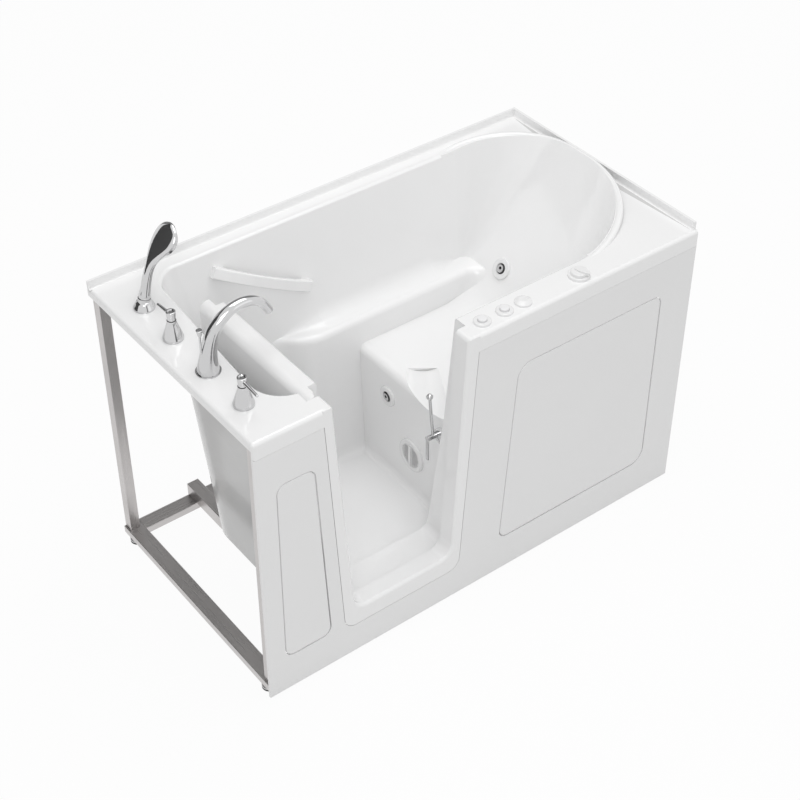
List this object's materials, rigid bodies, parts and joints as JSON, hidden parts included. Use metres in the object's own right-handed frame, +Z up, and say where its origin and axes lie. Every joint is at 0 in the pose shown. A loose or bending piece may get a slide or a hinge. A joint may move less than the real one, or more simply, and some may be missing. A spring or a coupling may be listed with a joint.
{
  "type": "jetted bathtub",
  "caption": "Jetted walk-in bathtub with moulded seat, inward-opening door, water jets, deck faucet with hand shower, deck controls and a steel frame on levelling feet.",
  "frame": {"origin": "middle of the bounding box on the floor", "axes": "+X along the tub from the faucet end to the head end, +Y from the door side to the back wall, +Z up; millimetre solids share this frame"},
  "size_m": [1.524, 0.813, 1.1816],
  "materials": {
    "gloss_shell": "glossy moulded white",
    "trim_white": "glossy white trim",
    "button_white": "satin white cap",
    "frame_steel": "brushed",
    "foot_rubber": "matt",
    "seal_rubber": "soft",
    "faucet_chrome": "polished",
    "aerator_black": "matt",
    "valve_brass": "machined",
    "nut_steel": "machined",
    "pipe_white": "smooth",
    "pump_black": "matt",
    "motor_grey": "painted"
  },
  "bodies": {
    "tub": {"access_panel_left": "gloss_shell", "access_panel_right": "gloss_shell", "air_valve": "pipe_white", "base_rail_back": "frame_steel", "base_rail_front": "frame_steel", "base_rail_left": "frame_steel", "base_rail_right": "frame_steel", "blank_cap": "trim_white", "button_bezels": "trim_white", "dial_base": "trim_white", "drain_body": "faucet_chrome", "faucet_nuts": "valve_brass", "floor_bearers": "frame_steel", "foot_nuts": "frame_steel", "foot_rubbers": "foot_rubber", "foot_stems": "frame_steel", "front_skirt": "gloss_shell", "grab_bar": "gloss_shell", "grab_bar_nuts": "nut_steel", "handle_base_back": "faucet_chrome", "handle_base_front": "faucet_chrome", "hinge_brackets": "frame_steel", "hinge_pins": "frame_steel", "jet_bodies": "pipe_white", "jet_rings": "trim_white", "latch_axle": "faucet_chrome", "latch_bracket": "faucet_chrome", "panel_catches": "nut_steel", "post_back_left": "frame_steel", "post_back_right": "frame_steel", "post_front_left": "frame_steel", "post_front_right": "frame_steel", "pressure_pipe": "pipe_white", "pump_motor": "motor_grey", "pump_tray": "frame_steel", "pump_wet_end": "pump_black", "shower_holder": "faucet_chrome", "spout": "faucet_chrome", "spout_aerator": "aerator_black", "suction_body": "pipe_white", "suction_cover": "trim_white", "suction_pipe": "pipe_white", "tub_shell": "gloss_shell", "valve_bodies": "valve_brass"},
    "door": {"door_panel": "gloss_shell", "door_seal": "seal_rubber", "latch_strike": "faucet_chrome"},
    "latch": {"latch_lever": "faucet_chrome"},
    "handle_front": {"handle_lever_front": "faucet_chrome"},
    "handle_back": {"handle_lever_back": "faucet_chrome"},
    "diverter": {"diverter_knob": "faucet_chrome"},
    "handset": {"hand_shower": "faucet_chrome"},
    "stopper": {"drain_stopper": "faucet_chrome"},
    "button_near": {"button_cap_near": "button_white"},
    "button_far": {"button_cap_far": "button_white"},
    "dial": {"dial_knob": "trim_white"},
    "nozzle_back_far": {"jet_nozzle_back_far": "faucet_chrome"},
    "nozzle_back_near": {"jet_nozzle_back_near": "faucet_chrome"},
    "nozzle_riser": {"jet_nozzle_riser": "faucet_chrome"}
  },
  "joints": [
    {"name": "door_hinge", "type": "hinge", "parent": "tub", "child": "door", "pos_m": [-0.541, -0.3295, 0.55], "axis": [0, 0, 1], "range_deg": [-90, 0]},
    {"name": "latch_turn", "type": "hinge", "parent": "tub", "child": "latch", "pos_m": [-0.057, -0.2315, 0.486], "axis": [1, 0, 0], "range_deg": [-90, 0]},
    {"name": "handle_front_turn", "type": "hinge", "parent": "tub", "child": "handle_front", "pos_m": [-0.69, -0.2625, 1.02], "axis": [0, 0, 1], "range_deg": [0, 90]},
    {"name": "handle_back_turn", "type": "hinge", "parent": "tub", "child": "handle_back", "pos_m": [-0.69, 0.0748, 1.02], "axis": [0, 0, 1], "range_deg": [-90, 0]},
    {"name": "diverter_lift", "type": "slide", "parent": "tub", "child": "diverter", "axis": [0, 0, 1], "range_m": [0, 0.012]},
    {"name": "handset_lift", "type": "slide", "parent": "tub", "child": "handset", "axis": [0.2079, 0, 0.9781], "range_m": [0, 0.06]},
    {"name": "stopper_lift", "type": "slide", "parent": "tub", "child": "stopper", "axis": [0, 0, 1], "range_m": [0, 0.01]},
    {"name": "button_near_press", "type": "slide", "parent": "tub", "child": "button_near", "axis": [0, 0, 1], "range_m": [-0.0035, 0], "stiffness_N_per_m": 400},
    {"name": "button_far_press", "type": "slide", "parent": "tub", "child": "button_far", "axis": [0, 0, 1], "range_m": [-0.0035, 0], "stiffness_N_per_m": 400},
    {"name": "dial_turn", "type": "hinge", "parent": "tub", "child": "dial", "pos_m": [0.34378, -0.3625, 0.965], "axis": [0, 0, 1], "range_deg": [0, 180]},
    {"name": "nozzle_back_far_turn", "type": "hinge", "parent": "tub", "child": "nozzle_back_far", "pos_m": [0.5034, 0.1375, 0.62], "axis": [-0.8514, 0, 0.5246], "range_deg": [-180, 180]},
    {"name": "nozzle_back_near_turn", "type": "hinge", "parent": "tub", "child": "nozzle_back_near", "pos_m": [0.5034, -0.0905, 0.62], "axis": [-0.8514, 0, 0.5246], "range_deg": [-180, 180]},
    {"name": "nozzle_riser_turn", "type": "hinge", "parent": "tub", "child": "nozzle_riser", "pos_m": [0.011, 0.0725, 0.399], "axis": [-1, 0, 0], "range_deg": [-180, 180]}
  ]
}
